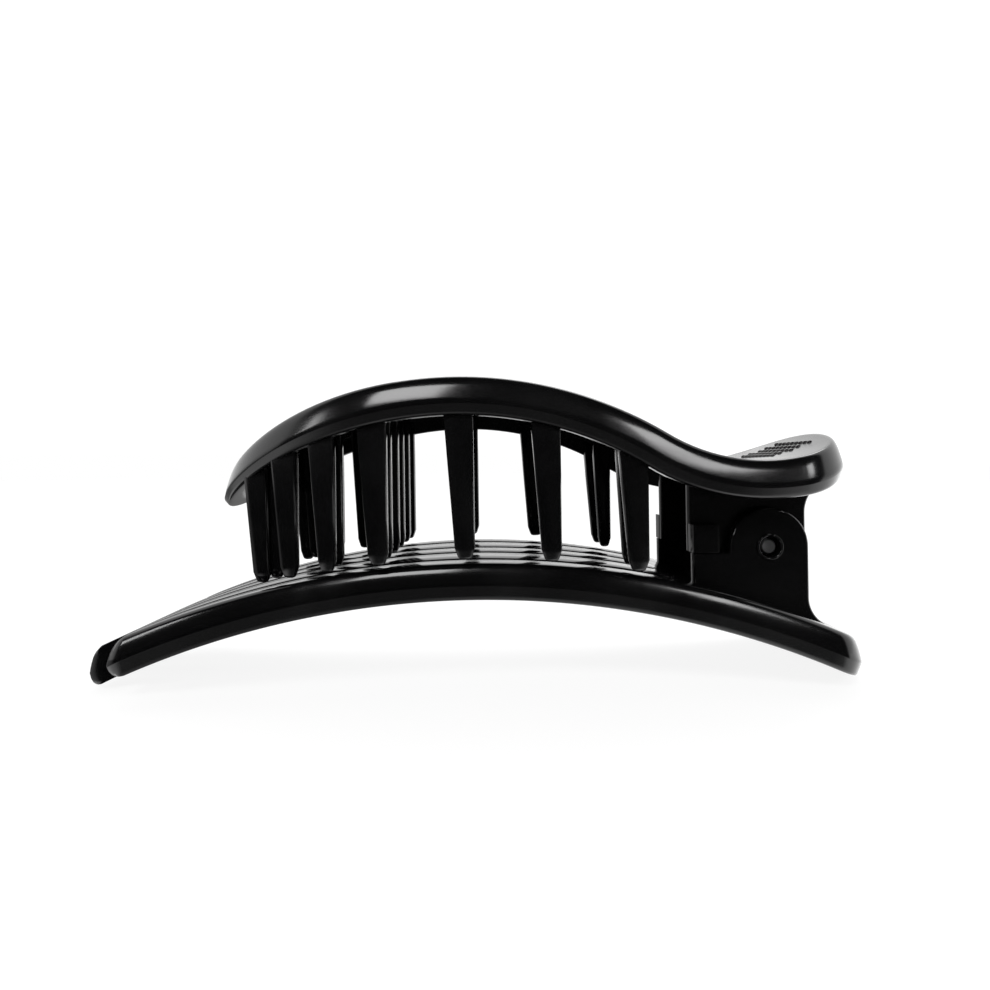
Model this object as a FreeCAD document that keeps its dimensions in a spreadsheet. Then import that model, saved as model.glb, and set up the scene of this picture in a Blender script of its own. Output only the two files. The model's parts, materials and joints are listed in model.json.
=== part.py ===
import FreeCAD, Part
import Sketcher
import os

# A sectioning clip for hair: a long arched lower jaw of five prongs, a shorter upper jaw
# with a rim of teeth, a steel hinge pin and a torsion spring that keeps the clip shut.
# +X runs from the prong tips to the tail, +Y across the clip, +Z up. The closed clip
# stands on its prong tips and its tail, and the origin is under its middle.

doc = FreeCAD.newDocument("sectioning_clip")

# ---------------------------------------------------------------------------
# Driving dimensions, in millimetres
# ---------------------------------------------------------------------------

SIZES = [
    ("clip_length", 130.0, "prong tips to tail end"),
    ("arch_radius", 148.0, "top face of the lower jaw, seen from the side"),
    ("bar_thick", 5.7, "lower jaw, top face to bottom face"),
    ("jaw_half_width", 18.4, "lower jaw, middle to outer face"),
    ("slot_width", 1.8, "gap between two prongs"),
    ("slot_inner_y", 3.55, "middle of the two inner gaps"),
    ("slot_outer_y", 12.0, "middle of the two outer gaps"),
    ("slot_end_x", 31.5, "closed end of the gaps"),
    ("tip_bevel", 2.3, "how far the top of a tip lies behind its point"),
    ("tip_undercut", 1.2, "how far the bottom of a tip lies behind its point"),
    ("inner_prong_short", 0.8, "second prongs, short of the middle one"),
    ("outer_prong_short", 7.9, "outer prongs, short of the middle one"),
    ("tail_round", 8.0, "rounded part of the tail, along the clip"),
    ("crown_radius", 61.7, "upper jaw, convex top face"),
    ("crown_x", -2.2, "highest place of the upper jaw"),
    ("crown_rise", 29.0, "upper jaw's top above the lower jaw's top"),
    ("dip_radius", 28.5, "upper jaw, concave thumb pad"),
    ("dip_x", 45.27, "lowest place of the thumb pad's top"),
    ("nose_reach", 44.3, "upper jaw's front end"),
    ("nose_round", 29.9, "rounded part of the nose, along the clip"),
    ("pad_reach", 62.7, "thumb pad's rear end"),
    ("pad_round", 12.2, "rounded part of the pad, along the clip"),
    ("upper_half_width", 21.3, "upper jaw, middle to outer face"),
    ("plate_thick", 2.4, "upper jaw's plate"),
    ("rim_height", 6.0, "upper jaw's rim"),
    ("rim_thick", 3.0, "upper jaw's rim wall"),
    ("tooth_pitch", 13.35, "between teeth of the straight rows"),
    ("last_tooth_x", 25.65, "tooth nearest to the hinge"),
    ("nose_tooth_a", 8.0, "first nose tooth, ahead of the straight rows"),
    ("nose_tooth_b", 14.4, "second nose tooth"),
    ("nose_tooth_c", 20.1, "third nose tooth"),
    ("tooth_root", 4.8, "tooth width at the rim"),
    ("tooth_tip", 3.0, "tooth width at its tip"),
    ("tooth_thick", 2.6, "tooth across the clip, at the rim"),
    ("tooth_tip_thick", 1.9, "tooth across the clip, at its tip"),
    ("tooth_inset", 1.0, "outer face of a tooth inside the rim's outer face"),
    ("tooth_gap", 0.8, "tooth tip above the lower jaw"),
    ("nose_tooth_out", 0.5, "nose tooth's face beyond the outline, before it is trimmed"),
    ("nose_tooth_thick", 4.2, "nose tooth across the clip, at the rim, before it is trimmed"),
    ("nose_tooth_tip_thick", 3.0, "nose tooth across the clip, at its tip, before it is trimmed"),
    ("inner_tooth_root", 3.6, "inner tooth width at the plate"),
    ("inner_tooth_tip", 2.4, "inner tooth width at its tip"),
    ("inner_tooth_cover", 0.25, "plate left over the top of an inner tooth"),
    ("inner_tooth_front", 18.1, "front inner tooth, ahead of the straight rows"),
    ("pin_x", 48.5, "hinge axis along the clip"),
    ("pin_rise", 1.25, "hinge axis above the lower jaw's top"),
    ("pin_radius", 1.25, "hinge pin"),
    ("pin_recess", 0.5, "pin end inside the ear's outer face"),
    ("pin_chamfer", 0.2, "chamfer at each pin end"),
    ("push_fit", 0.01, "radial clearance of the pin in the lower ears"),
    ("running_fit", 0.05, "radial clearance of the pin in the upper ears"),
    ("ear_thick", 2.0, "every ear"),
    ("ear_gap", 0.3, "between an upper ear and a lower ear"),
    ("upper_ear_half", 9.9, "middle to the upper ear's outer face"),
    ("upper_ear_round", 7.0, "upper ear round the pin"),
    ("lower_ear_round", 6.4, "lower ear round the pin"),
    ("ear_front", 12.5, "front of the ears, ahead of the pin"),
    ("ear_flare", 5.0, "radius at the lower ear's rear foot"),
    ("flare_share", 0.6, "how far that foot reaches, as a share of its radius"),
    ("stop_below_pin", 0.95, "lower ear's shoulder, below the pin"),
    ("stop_gap", 0.1, "stop tab above the shoulder"),
    ("stop_length", 4.2, "stop tab along the clip"),
    ("stop_height", 4.6, "stop tab"),
    ("collar_radius", 2.15, "raised collar round the pin end"),
    ("collar_height", 0.35, "raised collar"),
    ("recess_radius", 1.75, "hole in the collar"),
    ("recess_depth", 0.9, "floor of that hole, inside the ear's outer face"),
    ("notch_width", 0.8, "notch in the top of the collar"),
    ("wire_radius", 0.5, "spring wire"),
    ("coil_radius", 2.5, "spring coil, middle of the wire"),
    ("coil_pitch", 1.2, "spring coil"),
    ("full_turns", 6.0, "spring coil"),
    ("leg_up", 50.0, "upper spring leg, degrees above level"),
    ("leg_down", 55.0, "lower spring leg, degrees below level"),
    ("leg_gap", 0.15, "spring leg to the face it presses on"),
]

sheet = doc.addObject("Spreadsheet::Sheet", "sizes")
for row, (alias, value, note) in enumerate(SIZES, start=1):
    sheet.set(f"A{row}", alias)
    sheet.set(f"B{row}", str(value))
    sheet.set(f"C{row}", note)
    sheet.setAlias(f"B{row}", alias)
doc.recompute()


def size(formula):
    """A formula in the sheet's aliases, with each alias read from the sheet."""
    words = formula.replace("(", " ( ").replace(")", " ) ").split()
    names = {alias for alias, value, note in SIZES}
    text = " ".join("sizes." + word if word in names else word for word in words)
    for function in ("sqrt", "sin", "cos"):
        text = text.replace(function + " (", function + "(")
    return text


def number(formula):
    """The formula's present value, for drawing a sketch close to where it settles."""
    return float(sheet.evalExpression(size(formula)))


# Places that several pieces share, as formulas in the sheet's names.
BOTTOM_X = "( clip_length / 2 - tip_undercut )"
ARCH_Z = f"( - sqrt ( ( arch_radius - bar_thick ) ^ 2 - {BOTTOM_X} ^ 2 ) )"
APEX_Z = f"( {ARCH_Z} + arch_radius )"
PIN_Z = f"( {APEX_Z} + pin_rise )"
CROWN_Z = f"( {APEX_Z} + crown_rise - crown_radius )"
RADII = "( crown_radius + dip_radius )"
DIP_RISE = f"sqrt ( {RADII} ^ 2 - ( dip_x - crown_x ) ^ 2 )"
DIP_Z = f"( {CROWN_Z} + {DIP_RISE} )"
LOWER_EAR_Y = "( upper_ear_half + ear_gap )"
EAR_FRONT_X = "( pin_x - ear_front )"
EAR_REAR_X = "( pin_x + lower_ear_round )"
SHOULDER_Z = f"( {PIN_Z} - stop_below_pin )"
NOSE_X = "( nose_round - nose_reach )"
PAD_X = "( pad_reach - pad_round )"
TAIL_X = "( clip_length / 2 - tail_round )"


def arch_top(x, depth="0"):
    """Height of the lower jaw at x, the given depth under its top face."""
    return f"( {ARCH_Z} + sqrt ( ( arch_radius - {depth} ) ^ 2 - {x} ^ 2 ) )"


def crown_top(x, depth="0"):
    """Height of the upper jaw's convex part at x, the given depth under its top face."""
    return f"( {CROWN_Z} + sqrt ( ( crown_radius - {depth} ) ^ 2 - ( {x} - crown_x ) ^ 2 ) )"


def dip_top(x, depth="0"):
    """Height of the upper jaw's concave part at x, the given depth under its top face."""
    return f"( {DIP_Z} - sqrt ( ( dip_radius + {depth} ) ^ 2 - ( {x} - dip_x ) ^ 2 ) )"


# ---------------------------------------------------------------------------
# How outlines, plates and primitives are made
# ---------------------------------------------------------------------------

UPRIGHT = FreeCAD.Rotation(FreeCAD.Vector(1, 0, 0), 90)
MID = FreeCAD.Vector(0, 1, 0)


def bind(thing, **formulas):
    """Bind properties to formulas; two underscores stand for a dot."""
    for name, formula in formulas.items():
        thing.setExpression(name.replace("__", "."), size(formula))


def outline(name, points, arcs):
    """A closed side view. points are (x, z) formulas in order; arcs maps a point's index
    to (centre x, centre z, turn) for the edge that starts there, turn +1 or -1."""
    sketch = doc.addObject("Sketcher::SketchObject", name)
    sketch.Placement = FreeCAD.Placement(FreeCAD.Vector(0, 0, 0), UPRIGHT)
    places = [FreeCAD.Vector(number(x), number(z), 0) for x, z in points]
    joints = []
    for index, start in enumerate(places):
        end = places[(index + 1) % len(places)]
        if index in arcs:
            centre_x, centre_z, turn = arcs[index]
            centre = FreeCAD.Vector(number(centre_x), number(centre_z), 0)
            first, last = (start, end) if turn > 0 else (end, start)
            circle = Part.Circle(centre, FreeCAD.Vector(0, 0, 1), (start - centre).Length)
            arc = Part.ArcOfCircle(circle, circle.parameter(first), circle.parameter(last))
            edge = sketch.addGeometry(arc, False)
            joints.append((edge, 1, 2) if turn > 0 else (edge, 2, 1))
        else:
            edge = sketch.addGeometry(Part.LineSegment(start, end), False)
            joints.append((edge, 1, 2))
    for index, (edge, begins, ends) in enumerate(joints):
        following, next_begins, next_ends = joints[(index + 1) % len(joints)]
        sketch.addConstraint(Sketcher.Constraint("Coincident", edge, ends, following, next_begins))

    def hold(kind, edge, spot, formula):
        constraint = Sketcher.Constraint(kind, edge, spot, number(formula))
        place = sketch.addConstraint(constraint)
        label = f"{kind}_{edge}_{spot}"
        sketch.renameConstraint(place, label)
        sketch.setExpression(f"Constraints.{label}", size(formula))

    for index, (edge, begins, ends) in enumerate(joints):
        previous = index - 1 if index else len(joints) - 1
        hold("DistanceX", edge, begins, points[index][0])
        hold("DistanceY", edge, begins, points[index][1])
        if index in arcs:
            hold("DistanceY", edge, 3, arcs[index][1])
    return sketch


def slab(name, sketch, low, high):
    """Draw a side view out across the clip, from low to high."""
    pad = doc.addObject("Part::Extrusion", name)
    pad.Base = sketch
    pad.DirMode = "Custom"
    pad.Dir = MID
    pad.Solid = True
    bind(pad, LengthFwd=high, LengthRev=f"- {low}")
    return pad


def mirrored(thing):
    """The same piece on the other side of the clip."""
    twin = doc.addObject("Part::Mirroring", thing.Name + "_twin")
    twin.Source = thing
    twin.Normal = MID
    return twin


def fuse(name, things):
    whole = doc.addObject("Part::MultiFuse", name)
    whole.Shapes = things
    return whole


def common(name, base, tool):
    shared = doc.addObject("Part::Common", name)
    shared.Base = base
    shared.Tool = tool
    return shared


def cut(name, base, tool):
    rest = doc.addObject("Part::Cut", name)
    rest.Base = base
    rest.Tool = tool
    return rest


def box(name, x, y, z, length, width, height):
    block = doc.addObject("Part::Box", name)
    bind(block, Length=length, Width=width, Height=height)
    bind(block, Placement__Base__x=x, Placement__Base__y=y, Placement__Base__z=z)
    return block


def rod(name, radius, low, high):
    """A round bar on the hinge axis, from low to high across the clip."""
    bar = doc.addObject("Part::Cylinder", name)
    bar.Placement.Rotation = FreeCAD.Rotation(FreeCAD.Vector(1, 0, 0), -90)
    bind(bar, Radius=radius, Height=f"{high} - {low}")
    bind(bar, Placement__Base__x="pin_x", Placement__Base__y=low, Placement__Base__z=PIN_Z)
    return bar


def round_end(name, x, along, across, low, high):
    """An upright elliptical column, for the round end of a jaw."""
    ring = doc.addObject("Part::Ellipse", name + "_ring")
    turned = number(across) > number(along)
    bind(ring, MajorRadius=across if turned else along, MinorRadius=along if turned else across)
    ring.Placement = FreeCAD.Placement(
        FreeCAD.Vector(0, 0, 0), FreeCAD.Rotation(FreeCAD.Vector(0, 0, 1), 90 if turned else 0)
    )
    bind(ring, Placement__Base__x=x, Placement__Base__z=low)
    column = doc.addObject("Part::Extrusion", name)
    column.Base = ring
    column.DirMode = "Custom"
    column.Dir = FreeCAD.Vector(0, 0, 1)
    column.Solid = True
    bind(column, LengthFwd=f"{high} - {low}")
    return column


def plan(name, front, rear, front_round, rear_round, half_width, low, high):
    """An upright column with the plan of a jaw: straight sides and rounded ends."""
    middle = box(name + "_middle", front, f"- {half_width}", low,
                 f"{rear} - {front}", f"2 * {half_width}", f"{high} - {low}")
    parts = [middle]
    if front_round:
        parts.append(round_end(name + "_front", front, front_round, half_width, low, high))
    parts.append(round_end(name + "_rear", rear, rear_round, half_width, low, high))
    return fuse(name, parts)


# ---------------------------------------------------------------------------
# Lower jaw: one arched plate, cut into five prongs, with two ears at the hinge
# ---------------------------------------------------------------------------

HALF_LENGTH = "( clip_length / 2 )"
ARCH_CENTRE = ("0", ARCH_Z)


def tip_points(reach):
    """The three corners of a prong's tip, from its top to its bottom."""
    top_x = f"( tip_bevel - {reach} )"
    bottom_x = f"( tip_undercut - {reach} )"
    return [
        (top_x, arch_top(top_x)),
        (f"( - {reach} )", arch_top(reach, "bar_thick / 2")),
        (bottom_x, arch_top(bottom_x, "bar_thick")),
    ]


def prong_end(name, shortening, low, high):
    """What is cut away in front of a shorter prong."""
    top, point, bottom = tip_points(f"( {HALF_LENGTH} - {shortening} )")
    above = f"( {APEX_Z} + bar_thick )"
    below = "( - bar_thick )"
    ahead = "( - clip_length )"
    corners = [(ahead, above), (top[0], above), top, point, bottom, (bottom[0], below), (ahead, below)]
    end = slab(name, outline(name + "_view", corners, {}), low, high)
    return [end, mirrored(end)]


front_tip = tip_points(HALF_LENGTH)
tail_tip = [(f"( - {x} )", z) for x, z in front_tip]
jaw_view = outline(
    "lower_jaw_view",
    [front_tip[0], tail_tip[0], tail_tip[1], tail_tip[2], front_tip[2], front_tip[1]],
    {0: (*ARCH_CENTRE, -1), 3: (*ARCH_CENTRE, 1)},
)
jaw_slab = slab("lower_jaw_slab", jaw_view, "( - 2 * jaw_half_width )", "( 2 * jaw_half_width )")
jaw_plan = plan("lower_jaw_plan", "( - clip_length )", TAIL_X, None, "tail_round",
                "jaw_half_width", "( - bar_thick )", f"( {APEX_Z} + bar_thick )")
jaw_plate = common("lower_jaw_plate", jaw_slab, jaw_plan)

gaps = []
gaps += prong_end("inner_prong_end", "inner_prong_short", "slot_inner_y", "slot_outer_y")
gaps += prong_end("outer_prong_end", "outer_prong_short", "slot_outer_y", "( 2 * jaw_half_width )")
for name, middle in (("inner_slot", "slot_inner_y"), ("outer_slot", "slot_outer_y")):
    slot = box(name, "( - clip_length )", f"( {middle} - slot_width / 2 )", "( - bar_thick )",
               "( clip_length + slot_end_x )", "slot_width", f"( {APEX_Z} + 2 * bar_thick )")
    closed_end = doc.addObject("Part::Cylinder", name + "_end")
    bind(closed_end, Radius="slot_width / 2", Height=f"( {APEX_Z} + 2 * bar_thick )")
    bind(closed_end, Placement__Base__x="slot_end_x", Placement__Base__y=middle,
         Placement__Base__z="( - bar_thick )")
    gaps += [slot, closed_end, mirrored(slot), mirrored(closed_end)]

FLARE_X = f"( {EAR_REAR_X} + flare_share * ear_flare )"
FLARE_Z = f"( {arch_top(FLARE_X)} + ear_flare * sqrt ( 1 - ( 1 - flare_share ) ^ 2 ) )"
EAR_FRONT_FOOT = (EAR_FRONT_X, arch_top(EAR_FRONT_X, "bar_thick / 2"))
EAR_REAR_FOOT = (FLARE_X, arch_top(FLARE_X, "bar_thick / 2"))
lower_ear_view = outline(
    "lower_ear_view",
    [
        EAR_FRONT_FOOT,
        (EAR_FRONT_X, SHOULDER_Z),
        ("( pin_x - lower_ear_round )", SHOULDER_Z),
        ("( pin_x - lower_ear_round )", PIN_Z),
        (EAR_REAR_X, PIN_Z),
        (EAR_REAR_X, FLARE_Z),
        (FLARE_X, arch_top(FLARE_X)),
        EAR_REAR_FOOT,
    ],
    {3: ("pin_x", PIN_Z, -1), 5: (f"( {EAR_REAR_X} + ear_flare )", FLARE_Z, 1)},
)
LOWER_EAR_OUTSIDE = f"( {LOWER_EAR_Y} + ear_thick )"
lower_ear = slab("lower_ear", lower_ear_view, LOWER_EAR_Y, LOWER_EAR_OUTSIDE)
collar = rod("collar", "collar_radius", f"( {LOWER_EAR_OUTSIDE} - collar_height )",
             f"( {LOWER_EAR_OUTSIDE} + collar_height )")
lower_solid = fuse("lower_jaw_solid", [jaw_plate, lower_ear, mirrored(lower_ear), collar, mirrored(collar)])

recess = rod("collar_recess", "recess_radius", f"( {LOWER_EAR_OUTSIDE} - recess_depth )",
             f"( {LOWER_EAR_OUTSIDE} + 2 * collar_height )")
notch = box("collar_notch", "( pin_x - notch_width / 2 )", LOWER_EAR_OUTSIDE, PIN_Z,
            "notch_width", "( 2 * collar_height )", "( 2 * collar_radius )")
lower_bore = rod("lower_bore", "( pin_radius + push_fit )", f"( - 2 * {LOWER_EAR_OUTSIDE} )",
                 f"( 2 * {LOWER_EAR_OUTSIDE} )")
lower_cuts = fuse("lower_jaw_cuts", gaps + [recess, mirrored(recess), notch, mirrored(notch), lower_bore])
lower_jaw = cut("lower_jaw", lower_solid, lower_cuts)

# ---------------------------------------------------------------------------
# Upper jaw: a curved plate with a rim, rows of teeth, two ears and stop tabs
# ---------------------------------------------------------------------------

DIP_CENTRE = ("dip_x", DIP_Z)


def curved_band(name, top, bottom):
    """Side view of a layer of the upper jaw, between two depths under its top face. Ahead
    of the crown a depth is measured straight down, and behind it square to the face."""
    front = "( - nose_reach - rim_thick )"
    rear = "( pad_reach + rim_thick )"

    def turn_point(depth):
        share = f"( crown_radius - {depth} ) / {RADII}"
        return (f"( crown_x + ( dip_x - crown_x ) * {share} )", f"( {CROWN_Z} + {DIP_RISE} * {share} )")

    def crown_point(depth):
        return ("crown_x", crown_top("crown_x", depth))

    def front_point(depth):
        return (front, f"( {crown_top(front)} - {depth} )")

    def front_centre(depth):
        return ("crown_x", f"( {CROWN_Z} - {depth} )")

    crown_centre = front_centre("0")
    return outline(
        name,
        [
            front_point(top), crown_point(top), turn_point(top), (rear, dip_top(rear, top)),
            (rear, dip_top(rear, bottom)), turn_point(bottom), crown_point(bottom), front_point(bottom),
        ],
        {
            0: (*front_centre(top), -1), 1: (*crown_centre, -1), 2: (*DIP_CENTRE, 1),
            4: (*DIP_CENTRE, -1), 5: (*crown_centre, 1), 6: (*front_centre(bottom), 1),
        },
    )


WIDE = "( 2 * upper_half_width )"
ABOVE = f"( {APEX_Z} + 2 * crown_rise )"
block = common(
    "rim_block",
    slab("rim_slab", curved_band("rim_view", "0", "rim_height"), f"( - {WIDE} )", WIDE),
    plan("rim_plan", NOSE_X, PAD_X, "nose_round", "pad_round", "upper_half_width", "0", ABOVE),
)
hollow_view = curved_band("hollow_view", "plate_thick", "( rim_height + plate_thick )")
hollow = common(
    "hollow",
    slab("hollow_slab", hollow_view, f"( - {WIDE} )", WIDE),
    plan("hollow_plan", NOSE_X, PAD_X, "( nose_round - rim_thick )", "( pad_round - rim_thick )",
         "( upper_half_width - rim_thick )", "0", ABOVE),
)
shell = cut("upper_shell", block, hollow)

FRONT_ROW_X = "( last_tooth_x - 3 * tooth_pitch )"


def tooth(name, x, y, root, tip, thick, tip_thick, outer, lowest=None):
    """One tooth, upright at the back and slanted at the front. An outer tooth's place is
    its outer face; an inner tooth's place is its middle, and its flat top stays in the
    plate at lowest, the side of it where the plate is lower."""
    bottom = f"( {arch_top(x)} + tooth_gap )"
    top = f"( {crown_top(x)} - rim_height / 2 )" if outer else f"( {crown_top(lowest)} - inner_tooth_cover )"
    wedge = doc.addObject("Part::Wedge", name)
    wedge.Placement.Rotation = FreeCAD.Rotation(FreeCAD.Vector(1, 0, 0), -90)
    bind(wedge, Ymin="0", Ymax=f"{top} - {bottom}", Xmin=f"{tip} / 2 - {root}", Xmax=f"{tip} / 2",
         X2min=f"- {tip} / 2", X2max=f"{tip} / 2")
    if outer:
        bind(wedge, Zmin=f"- {thick}", Z2min=f"- {tip_thick}", Zmax="0", Z2max="0")
    else:
        bind(wedge, Zmin=f"- {thick} / 2", Z2min=f"- {tip_thick} / 2",
             Zmax=f"{thick} / 2", Z2max=f"{tip_thick} / 2")
    bind(wedge, Placement__Base__x=x, Placement__Base__y=y, Placement__Base__z=top)
    return wedge


OUTER_SIZES = ("tooth_root", "tooth_tip", "tooth_thick", "tooth_tip_thick")
NOSE_SIZES = ("tooth_root", "tooth_tip", "nose_tooth_thick", "nose_tooth_tip_thick")
INNER_SIZES = ("inner_tooth_root", "inner_tooth_tip", "tooth_thick", "tooth_tip_thick")
teeth = []
for index in range(4):
    station = f"( last_tooth_x - {index} * tooth_pitch )"
    teeth.append(tooth(f"row_tooth_{index + 1}", station, "( upper_half_width - tooth_inset )",
                       *OUTER_SIZES, True))
for letter in "abc":
    station = f"( {FRONT_ROW_X} - nose_tooth_{letter} )"
    edge = f"( upper_half_width * sqrt ( 1 - ( nose_tooth_{letter} / nose_round ) ^ 2 ) )"
    teeth.append(tooth(f"nose_tooth_{letter}", station, f"( {edge} + nose_tooth_out )", *NOSE_SIZES, True))
for name, station, y in (
    ("inner_tooth_1", "last_tooth_x", "slot_outer_y"),
    ("inner_tooth_2", FRONT_ROW_X, "slot_outer_y"),
    ("inner_tooth_3", FRONT_ROW_X, "slot_inner_y"),
    ("inner_tooth_4", f"( {FRONT_ROW_X} - nose_tooth_a )", "slot_outer_y"),
    ("inner_tooth_5", f"( {FRONT_ROW_X} - inner_tooth_front )", "slot_outer_y"),
):
    rear_side = f"( {station} + inner_tooth_tip / 2 )"
    front_side = f"( {rear_side} - inner_tooth_root )"
    lowest = rear_side if station == "last_tooth_x" else front_side
    teeth.append(tooth(name, station, y, *INNER_SIZES, False, lowest))
teeth += [mirrored(one) for one in list(teeth)]
teeth_in_plan = common(
    "teeth",
    fuse("teeth_rows", teeth),
    plan("teeth_plan", NOSE_X, PAD_X, "( nose_round - tooth_inset )", "( pad_round - tooth_inset )",
         "( upper_half_width - tooth_inset )", "0", ABOVE),
)

UPPER_EAR_REAR = "( pin_x + upper_ear_round )"
TAB_Z = f"( {SHOULDER_Z} + stop_gap )"
upper_ear_view = outline(
    "upper_ear_view",
    [
        (EAR_FRONT_X, dip_top(EAR_FRONT_X, "plate_thick / 2")),
        (UPPER_EAR_REAR, dip_top(UPPER_EAR_REAR, "plate_thick / 2")),
        (UPPER_EAR_REAR, PIN_Z),
        ("pin_x", f"( {PIN_Z} - upper_ear_round )"),
        (f"( {EAR_FRONT_X} + stop_length )", TAB_Z),
        (EAR_FRONT_X, TAB_Z),
    ],
    {0: (*DIP_CENTRE, 1), 2: ("pin_x", PIN_Z, -1)},
)
upper_ear = slab("upper_ear", upper_ear_view, "( upper_ear_half - ear_thick )", "upper_ear_half")
stop_tab = box("stop_tab", EAR_FRONT_X, "( upper_ear_half - ear_thick / 2 )", TAB_Z,
               "stop_length", "( ear_gap + 1.5 * ear_thick )", "stop_height")
upper_solid = fuse("upper_jaw_solid", [
    shell, teeth_in_plan, upper_ear, mirrored(upper_ear), stop_tab, mirrored(stop_tab),
])
upper_bore = rod("upper_bore", "( pin_radius + running_fit )", "( - 2 * upper_ear_half )",
                 "( 2 * upper_ear_half )")
upper_jaw = cut("upper_jaw", upper_solid, upper_bore)

# ---------------------------------------------------------------------------
# Hinge pin: a straight steel pin with both ends chamfered
# ---------------------------------------------------------------------------

hinge_pin = doc.addObject("PartDesign::Body", "hinge_pin")
pin_sketch = hinge_pin.newObject("Sketcher::SketchObject", "pin_section")
planes = {plane.Role: plane for plane in hinge_pin.Origin.OriginFeatures}
pin_sketch.AttachmentSupport = [(planes["XZ_Plane"], "")]
pin_sketch.MapMode = "FlatFace"
pin_circle = Part.Circle(FreeCAD.Vector(0, 0, 0), FreeCAD.Vector(0, 0, 1), number("pin_radius"))
pin_sketch.addGeometry(pin_circle, False)
pin_sketch.addConstraint(Sketcher.Constraint("Coincident", 0, 3, -1, 1))
pin_sketch.addConstraint(Sketcher.Constraint("Radius", 0, number("pin_radius")))
pin_sketch.renameConstraint(1, "radius")
bind(pin_sketch, Constraints__radius="pin_radius")
pin_pad = hinge_pin.newObject("PartDesign::Pad", "pin_length")
pin_pad.Profile = pin_sketch
pin_pad.Midplane = True
bind(pin_pad, Length=f"2 * ( {LOWER_EAR_OUTSIDE} - pin_recess )")
doc.recompute()
pin_chamfer = hinge_pin.newObject("PartDesign::Chamfer", "pin_ends")
end_edges = [
    f"Edge{index}" for index, edge in enumerate(pin_pad.Shape.Edges, start=1)
    if isinstance(edge.Curve, Part.Circle)
]
pin_chamfer.Base = (pin_pad, end_edges)
bind(pin_chamfer, Size="pin_chamfer")
bind(hinge_pin, Placement__Base__x="pin_x", Placement__Base__z=PIN_Z)

# ---------------------------------------------------------------------------
# Torsion spring: a coil round the pin, one leg under the pad, one leg on the tail
# ---------------------------------------------------------------------------

TURNS = "( full_turns + ( 180 - leg_up - leg_down ) / 360 )"
COIL_LENGTH = f"( coil_pitch * {TURNS} )"
start_angle = number("leg_up") + 90
axis_turn = FreeCAD.Rotation(FreeCAD.Vector(0, 0, 1), start_angle)

coil_path = doc.addObject("Part::Helix", "coil_path")
coil_path.Placement = FreeCAD.Placement(FreeCAD.Vector(0, 0, 0), UPRIGHT.multiply(axis_turn))
bind(coil_path, Pitch="coil_pitch", Height=COIL_LENGTH, Radius="coil_radius")
bind(coil_path, Placement__Base__x="pin_x", Placement__Base__y=f"{COIL_LENGTH} / 2", Placement__Base__z=PIN_Z)

wire_section = doc.addObject("Part::Circle", "wire_section")
wire_section.Placement = FreeCAD.Placement(
    FreeCAD.Vector(0, 0, 0),
    UPRIGHT.multiply(axis_turn).multiply(FreeCAD.Rotation(FreeCAD.Vector(1, 0, 0), 90)),
)
START_X = "( pin_x - coil_radius * sin ( leg_up ) )"
START_Z = f"( {PIN_Z} + coil_radius * cos ( leg_up ) )"
END_X = "( pin_x - coil_radius * sin ( leg_down ) )"
END_Z = f"( {PIN_Z} - coil_radius * cos ( leg_down ) )"
bind(wire_section, Radius="wire_radius", Placement__Base__x=START_X, Placement__Base__z=START_Z,
     Placement__Base__y=f"{COIL_LENGTH} / 2")

coil = doc.addObject("Part::Sweep", "coil")
coil.Sections = [wire_section]
coil.Spine = (coil_path, [])
coil.Solid = True
coil.Frenet = True


def leg(name, x, y, z, tilt, length):
    """A straight end of the spring wire, running back at a tilt above level."""
    wire = doc.addObject("Part::Cylinder", name)
    wire.Placement.Rotation = FreeCAD.Rotation(FreeCAD.Vector(0, 1, 0), 90 - tilt)
    bind(wire, Radius="wire_radius", Height=length)
    bind(wire, Placement__Base__x=x, Placement__Base__y=y, Placement__Base__z=z)
    return wire


LOWEST_PAD = dip_top("dip_x", "plate_thick")
TAIL_AT_PIN = arch_top("pin_x")
UPPER_END_X = f"( {START_X} + ( {LOWEST_PAD} - {START_Z} ) * cos ( leg_up ) / sin ( leg_up ) )"
LOWER_END_X = f"( {END_X} + ( {END_Z} - {TAIL_AT_PIN} ) * cos ( leg_down ) / sin ( leg_down ) )"
PAD_UNDERSIDE = dip_top(UPPER_END_X, "plate_thick")
TAIL_TOP = arch_top(LOWER_END_X)
upper_leg = leg("upper_leg", START_X, f"{COIL_LENGTH} / 2", START_Z, number("leg_up"),
                f"( {PAD_UNDERSIDE} - {START_Z} - wire_radius - leg_gap ) / sin ( leg_up )")
lower_leg = leg("lower_leg", END_X, f"- {COIL_LENGTH} / 2", END_Z, -number("leg_down"),
                f"( {END_Z} - {TAIL_TOP} - wire_radius - leg_gap ) / sin ( leg_down )")
torsion_spring = fuse("torsion_spring", [coil, upper_leg, lower_leg])

# ---------------------------------------------------------------------------
# Check every object, then write each piece
# ---------------------------------------------------------------------------

doc.recompute()
for thing in doc.Objects:
    if {"Invalid", "Error"} & set(thing.State):
        raise RuntimeError(f"{thing.Name} failed: {thing.State}")

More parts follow.
